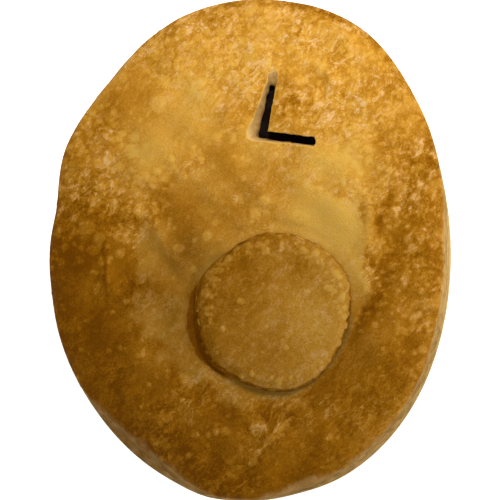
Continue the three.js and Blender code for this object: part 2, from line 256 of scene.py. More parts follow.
def swell_sum(swells, angle):
    """Sum of soft swells round a middle, each with its angle, spread and amount."""
    total = np.zeros_like(angle)
    for at, spread, by in swells:
        away = np.radians(at) - angle
        turn = np.arctan2(np.sin(away), np.cos(away)) / np.radians(spread)
        total += by * np.exp(-turn * turn)
    return total


def near_line(points, x, y):
    """Distance to a line of straight stretches, and how far along it, from 0 to 1."""
    best, share = np.full(x.shape, np.inf), np.zeros(x.shape)
    for i, ((ax, ay), (bx, by)) in enumerate(zip(points, points[1:])):
        along = ((x - ax) * (bx - ax) + (y - ay) * (by - ay)) / ((bx - ax) ** 2 + (by - ay) ** 2)
        held = np.clip(along, 0, 1)
        distance = np.hypot(x - lerp(ax, bx, held), y - lerp(ay, by, held))
        share = np.where(distance < best, (i + held) / (len(points) - 1), share)
        best = np.minimum(best, distance)
    return best, share


def line_sum(lines, x, y, end_fade, rough=0.0):
    """Sum of soft lines, each with its amount, width and points, that fade towards their ends.
    Rough, a share of the width, makes their sides uneven."""
    total = np.zeros_like(x)
    for amount, width, points in lines:
        distance, share = near_line(points, x, y)
        fade = np.sin(PI * lerp(end_fade, 1 - end_fade, share))
        total += amount * fade * np.exp(-((distance / width + rough) ** 2))
    return total


# Broad shape, by the same rules as the solids

def rim_radius(angle):
    ellipse = LENGTH * WIDTH / 2 / np.hypot(LENGTH * np.cos(angle), WIDTH * np.sin(angle))
    return ellipse * (1 + swell_sum(RIM_SWELLS, angle))


def edge_lean(angle):
    return EDGE_LEAN + swell_sum(EDGE_LEANS, angle)


def ripple_height(x, y):
    total = np.zeros_like(x)
    for length, heading, phase in RIPPLES:
        along = x * np.cos(np.radians(heading)) + y * np.sin(np.radians(heading))
        total += np.sin(along * 2 * PI / length + phase)
    return RIPPLE_HEIGHT * total


def sunken(x, y):
    """1 in the sunken middle of the lid, 0 on the ring round it."""
    out = np.hypot((x - SINK_AT[0]) / SINK_ACROSS, (y - SINK_AT[1]) / SINK_ALONG)
    return 1 - smoothstep(out, SINK_FROM, SINK_TO)


def smooth_lid(x, y):
    angle = np.arctan2(y, x)
    share = np.hypot(x, y) / (rim_radius(angle) - edge_lean(angle))
    return EDGE_HEIGHT + CROWN_RISE * (1 - share ** CROWN_POWER) - SINK_DEPTH * sunken(x, y)


def past_round(x, y):
    """Distance from the round's circle, below 0 inside it."""
    return np.hypot(x - ROUND_AT[0], y - ROUND_AT[1]) - ROUND_RADIUS


def round_angle(x, y):
    return np.arctan2(y - ROUND_AT[1], x - ROUND_AT[0])


def lid_top(x, y, relief):
    """Height of the lid's top above the case's rim, with fine relief outside the round's seat."""
    angle = np.arctan2(y, x)
    inset = np.maximum(rim_radius(angle) - edge_lean(angle) - np.hypot(x, y), 0)
    shoulder = SHOULDER_DROP * np.exp(-inset / SHOULDER_WIDTH)
    flap = patch_sum([FLAP], x, y)
    folds = line_sum(FOLDS, x, y, FOLD_END_FADE)
    free = smooth_lid(x, y) - shoulder + flap + folds + ripple_height(x, y) + relief
    past = past_round(x, y)
    valley = VALLEY_DEPTH * np.exp(-(((past - VALLEY_WIDTH) / VALLEY_WIDTH) ** 2))
    return lerp(ROUND_SEAT, free - valley, smoothstep(past, GAP, ROUND_SKIRT))


def vent_surface():
    """Height of the lid's surface at the vent's corner."""
    return RIM_HEIGHT + GAP + float(lid_top(*VENT_CORNER[:, None], 0)[0])


def lid_under(x, y):
    share = np.hypot(x, y) / rim_radius(np.arctan2(y, x))
    raised = np.maximum(smooth_lid(x, y) - LID_THICKNESS, 0)
    return raised * (1 - smoothstep(share, INNER_RIM_SHARE - RIM_REST_SHARE, INNER_RIM_SHARE))


# Fine relief

# Maps of small bumps: step and half size; and the bumps' stretch, reach and caps' edges
MAP_STEP = 0.2
MAP_HALF = np.array([56, 70])
BUMP_STRETCH, BUMP_REACH, CAP_EDGE = (0.75, 1.3), 1.4, 0.4

# Blisters of the lid: count, least radius, largest radius and height share of the radius
LID_BLISTER_KINDS = [(9000, 0.35, 0.8, 0.14), (1500, 0.8, 1.5, 0.07), (120, 1.5, 3.2, 0.03)]

# Bumps of the crust: wavelengths and heights, how far they are pushed about, and how steep they are
CRUST_WAVES = [(6.5, 0.5), (3.2, 0.5), (1.7, 0.35)]
CRUST_PUSH, CRUST_PUSH_LENGTH, CRUST_STEEPNESS = 1.1, 6, 2.6
LID_BUMP, LID_BUMP_SEED = 0.09, 11


def draw_bumps(kinds, density, seed):
    """Small bumps at random, each with its x, y, radius, stretch and height share of the radius.
    density(x, y), from 0 to 1, says how readily a bump stays."""
    draw = np.random.default_rng(seed)
    bumps = []
    for count, least, largest, share in kinds:
        at = draw.uniform(-MAP_HALF, MAP_HALF, (count, 2))
        radius = least * (largest / least) ** draw.uniform(0, 1, count)
        stretch = draw.uniform(*BUMP_STRETCH, count)
        stays = draw.uniform(0, 1, count) < density(at[:, 0], at[:, 1])
        bumps += [(*at[k], radius[k], stretch[k], share) for k in np.flatnonzero(stays)]
    return bumps


def bump_maps(bumps):
    """Maps of small round bumps: their heights, and 1 on each bump with a sharp edge."""
    heights = np.zeros((2 * MAP_HALF / MAP_STEP).astype(int) + 1)
    caps = np.zeros_like(heights)
    for x, y, radius, stretch, share in bumps:
        at, reach = np.array([x, y]), BUMP_REACH * radius
        low = np.maximum(((at - reach + MAP_HALF) / MAP_STEP).astype(int), 0)
        high = ((at + reach + MAP_HALF) / MAP_STEP).astype(int) + 2
        window = np.s_[low[0]:high[0], low[1]:high[1]]
        i, j = np.indices(heights[window].shape)
        dx = (i + low[0]) * MAP_STEP - MAP_HALF[0] - x
        dy = (j + low[1]) * MAP_STEP - MAP_HALF[1] - y
        inside = np.clip(1 - (dx * stretch / radius) ** 2 - (dy / stretch / radius) ** 2, 0, 1)
        np.maximum(heights[window], share * radius * inside, out=heights[window])
        np.maximum(caps[window], smoothstep(inside, 0, CAP_EDGE), out=caps[window])
    return heights, caps


def read_map(heights, x, y):
    """A map's value at each point, between its four nearest steps."""
    u = np.clip((x + MAP_HALF[0]) / MAP_STEP, 0, heights.shape[0] - 1.001)
    v = np.clip((y + MAP_HALF[1]) / MAP_STEP, 0, heights.shape[1] - 1.001)
    i, j = u.astype(int), v.astype(int)
    near = lerp(heights[i, j], heights[i + 1, j], u - i)
    far = lerp(heights[i, j + 1], heights[i + 1, j + 1], u - i)
    return lerp(near, far, v - j)


def crust_bumps(x, y, seed):
    """Rounded bumps with sharp creases between them, about -1 to 1."""
    wx = x + CRUST_PUSH * noise(x, y, CRUST_PUSH_LENGTH, seed)
    wy = y + CRUST_PUSH * noise(x, y, CRUST_PUSH_LENGTH, seed + 1)
    total = np.zeros_like(x)
    for step, (wavelength, height) in enumerate(CRUST_WAVES, 2):
        total += height * (CRUST_STEEPNESS * np.abs(noise(wx, wy, wavelength, seed + step)) - 1)
    return total


def calm(x, y):
    """1 on the smooth dough of the sunken middle and beside the vent, 0 on the flaky ring."""
    out = np.hypot((x - CALM_AT[0]) / CALM_ACROSS, (y - CALM_AT[1]) / CALM_ALONG)
    ragged = noise_sum(x, y, (0.11, 11, 72), (0.06, 4, 73), (0.03, 1.5, 76))
    total = 1 - smoothstep(out + ragged, *CALM_EDGE)
    for spot in CALM_SPOTS:
        total = np.maximum(total, patch_sum([(*spot, 1)], x, y))
    return total


def roughness_of(x, y):
    """How rough the lid is: blistered and flaky on its ring, smoother in the middle."""
    return lerp(1, CALM_ROUGHNESS, calm(x, y)) * patchy(x, y, wavelength=17, seed=71, spread=0.25, edge=0.6)


def flaked(x, y):
    """Share of the lid's flakes and blisters that is left on its smooth patches."""
    return 1 - np.clip(patch_sum(SMOOTH_PATCHES, x, y), 0, 1)


def lid_blistering(x, y):
    """How readily blisters lie on the lid: on its ring, least at the lower left, and as beads."""
    ring = (0.8 * roughness_of(x, y) - 0.2) * lerp(0.08, 1, smoothstep(0.3 * x + 0.95 * y, -25, 5))
    beads = BEAD_SHARE * (near_line(BEADS, x, y)[0] < BEAD_WIDTH)
    return np.maximum(ring * flaked(x, y), beads)


placed_blisters = [(x, y, radius, 1, share) for x, y, radius, share in PLACED_BLISTERS]
LID_BLISTERS, LID_CAPS = bump_maps(placed_blisters + draw_bumps(LID_BLISTER_KINDS, lid_blistering, seed=5))


def lid_relief(x, y):
    """Fine relief of the lid: bumps, blisters, and dimples in the smooth dough."""
    bumps = LID_BUMP * roughness_of(x, y) * crust_bumps(x, y, LID_BUMP_SEED)
    dimples = calm(x, y) * noise_sum(x, y, (0.14, 6, 74), (0.07, 2.6, 75))
    return bumps + read_map(LID_BLISTERS, x, y) + dimples


# Meshes

def disc_grid(cells):
    """Share of the radius and angle of a square grid that is bent into a disc."""
    side = np.linspace(-1, 1, cells + 1)
    across, along = np.meshgrid(side, side)
    wide = np.abs(across) > np.abs(along)
    reach = np.where(wide, across, along)
    other = np.where(wide, along, across)
    turn = PI / 4 * other / np.where(reach == 0, 1, reach)
    turn = np.where(wide, turn, PI / 2 - turn)
    return np.abs(reach).ravel(), np.arctan2(reach * np.sin(turn), reach * np.cos(turn)).ravel()


def shell_points(cells, edge_rings, under_shares):
    """Share, level and angle of a shell's points, and its faces.
    A bent grid is its top at level 1, and rings go down its edge and close it at level 0."""
    share, angle = disc_grid(cells)
    level = np.ones_like(share)
    grid = np.arange(len(share)).reshape(cells + 1, cells + 1)
    quads = [np.stack([grid[:-1, :-1], grid[:-1, 1:], grid[1:, 1:], grid[1:, :-1]], -1).reshape(-1, 4)]
    ring = np.concatenate([grid[0, :-1], grid[:-1, -1], grid[-1, :0:-1], grid[:0:-1, 0]])
    around = angle[ring]
    rings = [(1, 1 - (k + 1) / edge_rings) for k in range(edge_rings)] + [(s, 0) for s in under_shares]
    for ring_share, ring_level in rings:
        below = np.arange(len(around)) + len(share)
        quads.append(np.stack([below, np.roll(below, -1), np.roll(ring, -1), ring], -1))
        share = np.append(share, np.full(len(around), ring_share))
        level = np.append(level, np.full(len(around), ring_level))
        angle = np.append(angle, around)
        ring = below
    middle = np.full(len(ring), len(share))
    fan = np.stack([ring, middle, np.roll(ring, -1)], -1)
    share, level, angle = np.append(share, 0), np.append(level, 0), np.append(angle, 0)
    return (share, level, angle), np.concatenate(quads).tolist() + fan.tolist()


def tube_faces(rings, around):
    """Faces of a stack of closed rings, with both ends closed."""
    index = np.arange(rings * around).reshape(rings, around)
    low, high = index[:-1], index[1:]
    quads = np.stack([low, np.roll(low, -1, 1), np.roll(high, -1, 1), high], -1)
    return quads.reshape(-1, 4).tolist() + [index[0, ::-1].tolist(), index[-1].tolist()]


def add_piece(name, points, faces, materials, **values):
    """A smooth mesh piece from points in millimetres.
    Each named value is one number a point, or one number for them all."""
    mesh = bpy.data.meshes.new(name)
    mesh.from_pydata((np.stack(points, -1) * MM).tolist(), [], faces)
    mesh.shade_smooth()
    for key, numbers in values.items():
        spread = np.array(np.broadcast_to(numbers, len(mesh.vertices)), np.float32)
        mesh.attributes.new(key, "FLOAT", "POINT").data.foreach_set("value", spread)
    for material in materials:
        mesh.materials.append(material)
    mesh.update()
    piece = bpy.data.objects.new(name, mesh)
    bpy.context.scene.collection.objects.link(piece)
    return piece


# Materials

PALE = (0.60, 0.35, 0.058)
LIGHT = (0.54, 0.275, 0.034)
GOLDEN = (0.43, 0.195, 0.016)
BROWN = (0.29, 0.113, 0.003)
DARK = (0.17, 0.055, 0.0005)
FLAKE = (0.62, 0.38, 0.165)
CUT_EDGE = (0.74, 0.50, 0.20)
CUT_SHADE = (0.52, 0.31, 0.09)
VENT_WALL = (0.60, 0.38, 0.13)
VENT_SHADE = (0.36, 0.21, 0.06)
GRAVY = (0.004, 0.002, 0.001)
GRAVY_LIGHT = (0.008, 0.003, 0.001)

# Flakes lie along this heading, in degrees
GRAIN_HEADING = 48

# How far plates' edges are pushed about, in spacings, and how often along a plate
PLATE_PUSH, PLATE_RAGS = 0.9, 2.5

# Distance, in radii, that leaves a cell without a blister
BARE_DISTANCE = 10.0


def new_material(name):
    """A material with its node tree and its surface shader."""
    material = bpy.data.materials.new(name)
    material.use_nodes = True
    return material, material.node_tree, material.node_tree.nodes["Principled BSDF"]


def add_node(tree, kind, inputs=None, **settings):
    """A node with its settings, and inputs that are values or other nodes' outputs."""
    node = tree.nodes.new("ShaderNode" + kind)
    for key, value in settings.items():
        setattr(node, key, value)
    for key, value in (inputs or {}).items():
        if isinstance(value, bpy.types.NodeSocket):
            tree.links.new(value, node.inputs[key])
        else:
            node.inputs[key].default_value = value
    return node


def math_node(tree, operation, *values, kind="Math"):
    """The output of a sum on numbers, vectors or outputs."""
    return add_node(tree, kind, dict(enumerate(values)), operation=operation).outputs[0]


def value_of(tree, name):
    return add_node(tree, "Attribute", attribute_name=name).outputs["Fac"]


def grain(tree, stretch):
    """Places on the piece, drawn out along the way that its flakes lie."""
    place = add_node(tree, "TexCoord").outputs["Object"]
    inputs = {"Vector": place, "Rotation": (0, 0, np.radians(GRAIN_HEADING)), "Scale": (stretch, 1, 1)}
    return add_node(tree, "Mapping", inputs, vector_type="TEXTURE").outputs["Vector"]


def speckle(tree, wavelength, detail=3.0, distortion=0.0, stretch=1.0):
    """Noise over the piece at a wavelength in millimetres, about 0 to 1."""
    inputs = {"Vector": grain(tree, stretch), "Scale": 1 / (wavelength * MM), "Detail": detail,
              "Distortion": distortion}
    return add_node(tree, "TexNoise", inputs).outputs["Fac"]


def step_between(tree, value, low, high):
    """0 below low, 1 above high and smooth between; 1 to 0 where low is the larger."""
    inputs = {"Value": value, "From Min": low, "From Max": high}
    return add_node(tree, "MapRange", inputs, interpolation_type="SMOOTHSTEP").outputs["Result"]


def lace(tree, wavelength, spread, stretch):
    """Flaky patches with ragged edges: 0 in the deep crust, 1 on pale flakes."""
    ragged = speckle(tree, wavelength, 3.0, 0.3, stretch)
    return step_between(tree, ragged, 0.5 - spread, 0.5 + spread)


def scattered_cells(tree, place, spacing, feature="F1"):
    """Cells round scattered points, about a spacing across."""
    inputs = {"Vector": place, "Scale": 1 / (spacing * MM)}
    return add_node(tree, "TexVoronoi", inputs, feature=feature)


def cell_tones(tree, cells):
    """A tone from 0 to 1 for each cell, the same all over it."""
    return add_node(tree, "SeparateColor", {"Color": cells.outputs["Color"]}).outputs["Red"]


def plate_cells(tree, spacing, stretch, feature="F1"):
    """Cells of plates with ragged edges, about a spacing across."""
    place = grain(tree, stretch)
    inputs = {"Vector": place, "Scale": PLATE_RAGS / (spacing * MM), "Detail": 2.0}
    push = add_node(tree, "TexNoise", inputs).outputs["Color"]
    shift = math_node(tree, "SUBTRACT", push, (0.5, 0.5, 0.5), kind="VectorMath")
    reach = (PLATE_PUSH * spacing * MM,) * 3
    moved = math_node(tree, "MULTIPLY_ADD", shift, reach, place, kind="VectorMath")
    return scattered_cells(tree, moved, spacing, feature)


def plates(tree, spacing, width, stretch):
    """Outlines of plates: 1 along ragged lines of a width, in patches, and 0 elsewhere."""
    lines = plate_cells(tree, spacing, stretch, "DISTANCE_TO_EDGE").outputs["Distance"]
    outline = step_between(tree, lines, width / spacing, 0.3 * width / spacing)
    shown = step_between(tree, speckle(tree, 2 * spacing, 1.0), 0.42, 0.62)
    return math_node(tree, "MULTIPLY", outline, shown)


def facets(tree, spacing, stretch):
    """Tones of plates, from 0 to 1."""
    return cell_tones(tree, plate_cells(tree, spacing, stretch))


def dots(tree, spacing, radius, share):
    """Uneven round blisters: 1 on them and 0 beside them, with sharp edges.
    They lie in a share of the cells of a scattered pattern, in clusters."""
    cells = scattered_cells(tree, grain(tree, 1.0), spacing)
    clusters = step_between(tree, speckle(tree, 6 * spacing, 1.0), 0.45, 0.65)
    filled = math_node(tree, "MULTIPLY", clusters, 2 * share)
    empty = math_node(tree, "GREATER_THAN", cell_tones(tree, cells), filled)
    bare = math_node(tree, "MULTIPLY", empty, BARE_DISTANCE)
    away = math_node(tree, "MULTIPLY_ADD", cells.outputs["Distance"], spacing / radius, bare)
    uneven = math_node(tree, "MULTIPLY_ADD", speckle(tree, 1.5 * radius, 1.0), 1.6, away)
    return step_between(tree, uneven, 1.8, 1.65)


def scales(tree, wavelength, steps, sharpness, stretch):
    """Overlapping flakes: each fades from 1 at its raised rim to 0, and ends in a sharp edge."""
    ragged = speckle(tree, wavelength, 2.0, 0.3, stretch)
    part = math_node(tree, "FRACT", math_node(tree, "MULTIPLY", ragged, steps))
    return math_node(tree, "POWER", part, sharpness)


def mottle(tree, marks):
    """Sum of (mark, its mean, share), for marks that keep the mean colour."""
    total = 0.0
    for mark, mean, share in marks:
        total = math_node(tree, "MULTIPLY_ADD", math_node(tree, "SUBTRACT", mark, mean), share, total)
    return total


def colour_ramp(tree, amount, stops):
    node = add_node(tree, "ValToRGB", {"Fac": amount})
    ramp = node.color_ramp
    while len(ramp.elements) < len(stops):
        ramp.elements.new(0.5)
    for element, (position, colour) in zip(ramp.elements, stops):
        element.position = position
        element.color = (*colour, 1)
    return node.outputs["Color"]


def mix_colour(tree, amount, first, second):
    """The first colour, with a second one, fixed or linked, mixed in."""
    mixed_in = (*second, 1) if isinstance(second, tuple) else second
    inputs = {0: amount, 6: first, 7: mixed_in}
    return add_node(tree, "Mix", inputs, data_type="RGBA").outputs[2]


def set_surface(tree, shader, colour, roughness, gloss):
    """Sets a surface's colour, and how rough and how shiny it is."""
    tree.links.new(colour, shader.inputs["Base Color"])
    shader.inputs["Roughness"].default_value = roughness
    shader.inputs["Specular IOR Level"].default_value = gloss


def add_bump(tree, shader, height, distance, strength):
    inputs = {"Height": height, "Distance": distance * MM, "Strength": strength}
    tree.links.new(add_node(tree, "Bump", inputs).outputs["Normal"], shader.inputs["Normal"])


def pastry(name):
    """Baked pastry: pale to dark with the bake value, with paler layers where it is cut, and darkened by
    painted shade.
    """
    material, tree, shader = new_material(name)
    crinkles = mottle(tree, [
        (scales(tree, wavelength=3.2, steps=6, sharpness=3.0, stretch=1.4), 0.25, -0.12),
        (plates(tree, spacing=1.8, width=0.24, stretch=1.3), 0.15, 0.1),
        (facets(tree, spacing=1.1, stretch=1.3), 0.5, -0.17),
        # Blisters: paler, partly their thin layers, partly a painted highlight
        (dots(tree, spacing=1.6, radius=0.5, share=0.2), 0.05, -0.18),
    ])
    sheets = mottle(tree, [
        (lace(tree, wavelength=5, spread=0.03, stretch=2.2), 0.5, -0.07),
        (scales(tree, wavelength=2.6, steps=5, sharpness=2.0, stretch=1.8), 0.33, -0.2),
        (lace(tree, wavelength=1.8, spread=0.04, stretch=2.0), 0.5, -0.06),
        (facets(tree, spacing=2.2, stretch=1.6), 0.5, -0.12),
        (plates(tree, spacing=2.6, width=0.24, stretch=1.5), 0.1, 0.12),
    ])
    flakes = math_node(tree, "MULTIPLY_ADD", crinkles, value_of(tree, "flaky"),
                       math_node(tree, "MULTIPLY", sheets, value_of(tree, "sheets")))
    fine = mottle(tree, [(speckle(tree, 0.45, 1.0), 0.5, 0.42), (facets(tree, 3.6, 1.3), 0.5, -0.1)])
    amount = math_node(tree, "ADD", math_node(tree, "ADD", flakes, fine), value_of(tree, "bake"))
    crust = colour_ramp(tree, amount, [
        (0.0, PALE), (0.22, LIGHT), (0.45, GOLDEN), (0.72, BROWN), (1.0, DARK),
    ])
    layers = colour_ramp(tree, value_of(tree, "layer"), [(0.2, CUT_SHADE), (0.75, CUT_EDGE)])
    dust = math_node(tree, "MULTIPLY", step_between(tree, flakes, 0.02, -0.24),
                     step_between(tree, value_of(tree, "bake"), 0.8, 0.3))
    dusted = mix_colour(tree, dust, crust, FLAKE)
    baked = mix_colour(tree, value_of(tree, "cut"), dusted, layers)
    # Painted shade: mixes the colour towards black by the painted shade value
    colour = mix_colour(tree, value_of(tree, "dull"), baked, (0.0, 0.0, 0.0))
    set_surface(tree, shader, colour, roughness=0.55, gloss=0.02)
    raised = math_node(tree, "MULTIPLY_ADD", flakes, -1.5, speckle(tree, 0.45))
    add_bump(tree, shader, raised, distance=0.25, strength=0.8)
    return material


def vent_wall():
    """Pale dough on the sides of the vent, with painted shade that darkens it towards the foot."""
    material, tree, shader = new_material("vent_wall")
    place = add_node(tree, "TexCoord").outputs["Object"]
    height = add_node(tree, "SeparateXYZ", {"Vector": place}).outputs["Z"]
    foot, lit_from = ((vent_surface() - depth) * MM for depth in (VENT_DEPTH, VENT_LIT_DEPTH))
    # Painted shade: the sides darken from this depth down to the foot
    lit = step_between(tree, height, foot, lit_from)
    amount = math_node(tree, "MULTIPLY_ADD", lit, 0.4, speckle(tree, 1.1))
    colour = colour_ramp(tree, amount, [(0.45, VENT_SHADE), (0.85, VENT_WALL)])
    set_surface(tree, shader, colour, roughness=0.7, gloss=0.2)
    add_bump(tree, shader, speckle(tree, 0.5), distance=0.15, strength=0.6)
    return material


def gravy():
    material, tree, shader = new_material("gravy")
    colour = colour_ramp(tree, speckle(tree, 4), [(0.35, GRAVY), (0.7, GRAVY_LIGHT)])
    set_surface(tree, shader, colour, roughness=0.4, gloss=0.02)
    add_bump(tree, shader, speckle(tree, 1.5), distance=0.2, strength=0.5)
    return material


# Pieces

# Meshes: cells across, rings down the edge, and shares of the radius of the rings below
LID_MESH = 264, 16, (0.9, 0.6, 0.3)
ROUND_MESH = 120, 12, (0.6,)
FILLING_MESH = 90, 6, (0.5,)

# How far the filling lies below the lid, less its lumps
FILLING_SINK = 0.9

# The case: points around, rings of its parts, shares of the rings below and on top, and looks
CASE_AROUND = 600
CASE_FOOT_RINGS, CASE_WALL_RINGS, CASE_INNER_RINGS = 9, 44, 4
CASE_UNDER_SHARES, CASE_TOP_SHARES = (0.25, 0.5, 0.62), (0.3, 0.65)
CASE_BAKE, CASE_RIM_BAKE, CASE_FOOT_BAKE = 0.2, 0.16, 0.2
CASE_BUMP = 0.16

# The vent's cutter: steps along each side, levels, and its depth in depths of the vent
VENT_SIDE_STEPS, VENT_LEVELS, VENT_CUTTER_DEPTH = 16, 20, 1.6

# Flaky layers of the edges: how many, and how far they stand out
EDGE_LAYERS, EDGE_FLAKE = 5.5, 0.35
ROUND_LAYERS, ROUND_FLAKE = 3.5, 0.3

# How brown the lid's ring is
RING_BAKE, LOWER_LEFT_BAKE, VENT_END_PALER = 0.61, 0.2, 0.29

# Smooth dough, from the upper right to the lower left: its bake and its painted shade; and beside the
# round, painted shade and painted shadow as dark crust
DOUGH_BAKE, DOUGH_PAINTED_SHADE = (0.06, 0.32), (0.06, 0.24)
SHADE_BAKE, SHADE_DARKNESS, SHADE_SOFTNESS = 0.15, 0.5, 0.8
SHADOW_CRUST_BAKE, SHADOW_CRUST_DARKNESS, SHADOW_CRUST_SOFTNESS = 1.0, 0.1, 0.25
CALM_FLAKES = 0.3

# The round, with its top from the upper left to the lower right, and the painted shade on its top
ROUND_BAKE, ROUND_WALL_BAKE = (0.65, 0.29), 0.43
ROUND_SHADE_DARKNESS = 0.18
ROUND_BUMP, ROUND_BUMP_SEED = 0.06, 66
ROUND_RIM_DROP = 0.5
ROUND_WALL_TOP = (0.55, 0.95)
ROUND_BUBBLE_KINDS = [(7000, 0.3, 0.6, 0.2), (4000, 0.6, 1.15, 0.2)]

# The round's bubbles, scallops, and its wall's browning and painted shade: angle and spread in degrees, and
# amount
ROUND_BUBBLES = [(115, 55, 0.6), (20, 40, 0.35), (175, 25, 0.4)]
ROUND_SCALLOPS = [(340, 40, 2.5)]
ROUND_WALL_BROWN_AND_SHADE = [(203, 50, 0.5), (110, 40, 0.2), (270, 30, 0.2), (345, 40, 0.45)]

# The lid's cut edge by angle and spread in degrees: how crumbly it is, how dark with painted shade and how
# crusted, and how far its layers rise over the shoulder
EDGE_CRUMBLE = [(70, 25, 0.4), (125, 20, 0.7), (180, 30, 0.5), (240, 28, 0.9), (305, 25, 0.5)]
EDGE_SHADE_DARKNESS = [(240, 22, 0.6), (312, 26, 0.35)]
EDGE_CRUST = [(70, 25, 0.4), (125, 14, 0.45), (180, 30, 0.65), (240, 22, 0.62), (305, 30, 0.34)]
EDGE_RISE = [(125, 12, 1.5), (235, 15, 1.6), (258, 8, 0.9), (281, 10, 2.0), (312, 25, 0.6), (10, 8, 0.8)]


def edge_layers(angle, level, radius, layers, seed, crumble=0.0):
    """Where a point lies among an edge's flaky layers: a wandering wave, about -1 to 1.
    Crumble, from 0 to 1, breaks the layers up into lumps."""
    along = angle * radius
    wander = noise_sum(along, 9 * level, (0.35, 14, seed), (0.22, 5, seed + 1))
    waves = (1 - 0.7 * crumble) * np.sin(2 * PI * (layers * level + wander))
    lumps = crumble * noise(along, 8 * level, 2.6, seed + 3)
    return waves + 1.6 * lumps + (0.5 + 0.9 * crumble) * noise(along, 14 * level, 1.6, seed + 2)


def beside_round(x, y, widths, softness):
    """1 along the round out to the widths that swell at their own angles, 0 past them."""
    angle = round_angle(x, y)
    width = swell_sum(widths, angle)
    ragged = noise_sum(x, y, (0.25, 2.2, 35), (0.3, 6, 36))
    left = width + ragged - past_round(x, y) + swell_sum(ROUND_SWELLS, angle)
    inside = smoothstep(left, -softness, softness)
    return inside * smoothstep(width, 0.2, 0.9)


def shaded_side(x, y):
    """0 on the dough at the upper right, 1 at the lower left."""
    return smoothstep(-0.8 * x - 0.6 * y, -20, 20)


def lid_bake(x, y):
    """How brown the lid is, from 0 to 1, before its fine mottling."""
    ring = RING_BAKE + LOWER_LEFT_BAKE * smoothstep(-0.75 * x - 0.66 * y, -5, 38)
    ring -= VENT_END_PALER * smoothstep(y, 15, 45) * (1 - smoothstep(-x, 12, 35))
    bake = lerp(ring, lerp(*DOUGH_BAKE, shaded_side(x, y)), calm(x, y))
    bake += patch_sum(BAKED_PATCHES, x, y)
    bake += line_sum(STREAKS, x, y, STREAK_END_FADE, 0.5 * noise(x, y, 1.5, 37))
    angle = np.arctan2(y, x)
    inset = rim_radius(angle) - edge_lean(angle) - np.hypot(x, y)
    bake += smoothstep(inset, 3.2, 1) * (0.05 + swell_sum(RIM_BAKE, angle))
    # Painted shadow beside the round: a shaded band of pale dough, and a band of dark crust
    bake = lerp(bake, SHADE_BAKE, 0.7 * beside_round(x, y, ROUND_SHADE, SHADE_SOFTNESS))
    bake = lerp(bake, SHADOW_CRUST_BAKE, beside_round(x, y, ROUND_SHADOW_CRUST, SHADOW_CRUST_SOFTNESS))
    bake += noise_sum(x, y, (0.03, 9, 31), (0.015, 4, 32))
    bake -= 0.03 * roughness_of(x, y) * crust_bumps(x, y, LID_BUMP_SEED)
    # Blister tops are paler: partly their thin layers, partly a painted highlight
    return bake - 0.2 * read_map(LID_CAPS, x, y) - 0.3 * read_map(LID_BLISTERS, x, y)


def lid_flakiness(x, y):
    """How strongly the fine flakes show: most at the vent's end, least on the smooth dough."""
    ring = lerp(0.5, 1, smoothstep(y, 0, 30))
    uneven = patchy(x, y, wavelength=13, seed=33, spread=0.5, edge=0.4)
    return uneven * flaked(x, y) * lerp(ring, CALM_FLAKES, calm(x, y))


def lid_sheets(x, y):
    """How strongly the broad flakes show: least at the vent's end and on the smooth dough."""
    ring = lerp(0.68, 0.55, smoothstep(y, 0, 40)) - 0.22 * smoothstep(x, 20, 36)
    ring += 0.18 * smoothstep(-y, 30, 48)
    uneven = patchy(x, y, wavelength=15, seed=34, spread=0.6, edge=0.4)
    return uneven * flaked(x, y) * lerp(ring, CALM_FLAKES, calm(x, y))


def lid_dullness(x, y):
    """Painted shade on the lid: how much darker the smooth dough and the dough beside the round are than
    crust of the same hue.
    """
    dull = calm(x, y) * lerp(*DOUGH_PAINTED_SHADE, shaded_side(x, y)) + patch_sum(SHADE_PATCHES, x, y)
    dull = lerp(dull, SHADE_DARKNESS, beside_round(x, y, ROUND_SHADE, SHADE_SOFTNESS))
    return lerp(dull, SHADOW_CRUST_DARKNESS, beside_round(x, y, ROUND_SHADOW_CRUST, SHADOW_CRUST_SOFTNESS))


def lid_cut(share, level, angle):
    """1 on the pale layers of the lid's cut edge, 0 on its crust, with a ragged limit."""
    along = angle * WIDTH / 2
    above = (1 - share) * WIDTH / 2 - (1 - level) * EDGE_HEIGHT
    ragged = noise_sum(along, above, (0.6, 7, 45), (0.5, 2.2, 46), (0.4, 1, 48))
    inside = above + ragged - swell_sum(EDGE_RISE, angle)
    bare = 1 - swell_sum(EDGE_CRUST, angle)
    return (1 - smoothstep(inside, -1.5, -0.3)) * bare * lerp(1, 0.5, smoothstep(above, -1.5, 0))


def make_lid(crust):
    (share, level, angle), faces = shell_points(*LID_MESH)
    rim, lean = rim_radius(angle), edge_lean(angle)
    crumble = swell_sum(EDGE_CRUMBLE, angle)
    layers = edge_layers(angle, level, WIDTH / 2, EDGE_LAYERS, 41, crumble)
    flakes = EDGE_FLAKE * (1 + layers) * np.sin(PI * level) * (share == 1)
    radius = share * (rim - lean * level) - flakes
    x, y = radius * np.cos(angle), radius * np.sin(angle)
    z = RIM_HEIGHT + GAP + lerp(lid_under(x, y), lid_top(x, y, lid_relief(x, y)), level)
    cut = lid_cut(share, level, angle)
    uneven = 1 + 0.7 * noise(angle * WIDTH / 2, 6 * level, 2.5, 47)
    # Painted shade on the lid, and more on its cut edge, most at the lower left and lower right
    dull = lid_dullness(x, y) + cut * (0.06 + swell_sum(EDGE_SHADE_DARKNESS, angle) * uneven)
    return add_piece("lid_crust", (x, y, z), faces, [crust],
                     bake=lid_bake(x, y), flaky=lid_flakiness(x, y), sheets=lid_sheets(x, y), dull=dull,
                     cut=cut, layer=0.5 + 0.5 * layers)


